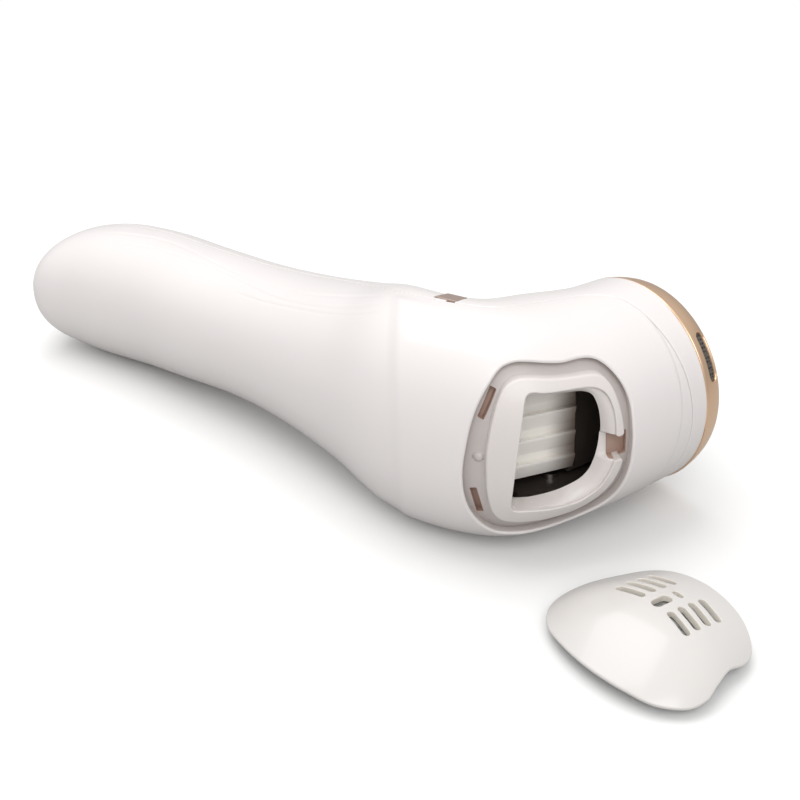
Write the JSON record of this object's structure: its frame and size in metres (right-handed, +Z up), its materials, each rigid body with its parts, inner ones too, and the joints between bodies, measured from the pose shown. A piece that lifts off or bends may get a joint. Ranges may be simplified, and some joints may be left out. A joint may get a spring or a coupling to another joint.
{
  "type": "electric callus remover",
  "caption": "Hand-held battery foot file: a bent white handle and head with a turning grit disc in a rose-gold rim, a suction fan, and a vented dust cover lying beside it.",
  "frame": {"origin": "centre of the grit disc's working face", "axes": "-Y is the way the grit disc faces, +X runs from the head towards the handle end, +Z is up with the appliance lying on its side"},
  "size_m": [0.2419, 0.1034, 0.0575],
  "materials": {
    "shell_front": "glossy",
    "shell_rear": "glossy",
    "rose_gold": "polished",
    "dark_mesh": "woven mesh",
    "black_plastic": "satin",
    "screw_steel": "plain",
    "motor_steel": "brushed",
    "cap_plastic": "matte",
    "bronze": "satin",
    "inner_white": "satin",
    "cell_wrap": "heat-shrink film",
    "clip_nickel": "plain",
    "board_green": "solder mask",
    "wire_red": "smooth",
    "shaft_steel": "ground",
    "rotor_copper": "enamelled wire",
    "fan_grey": "satin",
    "holder_white": "glossy",
    "grit": "coarse grit",
    "cover_white": "glossy",
    "grey_mesh": "woven wire",
    "foam_grey": "open-cell foam"
  },
  "bodies": {
    "housing": {"front_shell": "shell_front", "rear_shell": "shell_rear", "rim_ring": "rose_gold", "inlet_meshes": "dark_mesh", "motor_plate": "black_plastic", "plate_screws": "screw_steel", "motor_can": "motor_steel", "motor_end_cap": "cap_plastic", "front_bush": "bronze", "rear_bush": "bronze", "motor_cradle": "black_plastic", "cradle_screws": "screw_steel", "louvre_wall": "inner_white", "battery": "cell_wrap", "battery_clips": "clip_nickel", "circuit_board": "board_green", "tact_switch": "black_plastic", "charging_socket": "black_plastic", "lead_wires": "wire_red"},
    "spindle": {"drive_shaft": "shaft_steel", "motor_rotor": "rotor_copper", "fan_impeller": "fan_grey", "disc_holder": "holder_white"},
    "grit_disc": {"abrasive_disc": "grit"},
    "button": {"power_button": "rose_gold"},
    "cover": {"dust_cover": "cover_white", "filter_mesh": "grey_mesh", "filter_foam": "foam_grey"}
  },
  "joints": [
    {"name": "spindle_spin", "type": "hinge", "parent": "housing", "child": "spindle", "pos_m": [0, 0.0092, 0], "axis": [0, -1, 0], "continuous": true},
    {"name": "disc_pull", "type": "slide", "parent": "spindle", "child": "grit_disc", "axis": [0, -1, 0], "range_m": [0, 0.02]},
    {"name": "button_press", "type": "slide", "parent": "housing", "child": "button", "axis": [-0.0663, 0, -0.9978], "range_m": [0, 0.001]},
    {"name": "cover_lift", "type": "slide", "parent": "housing", "child": "cover", "axis": [0, 0, 1], "range_m": [0, 0.06]}
  ]
}
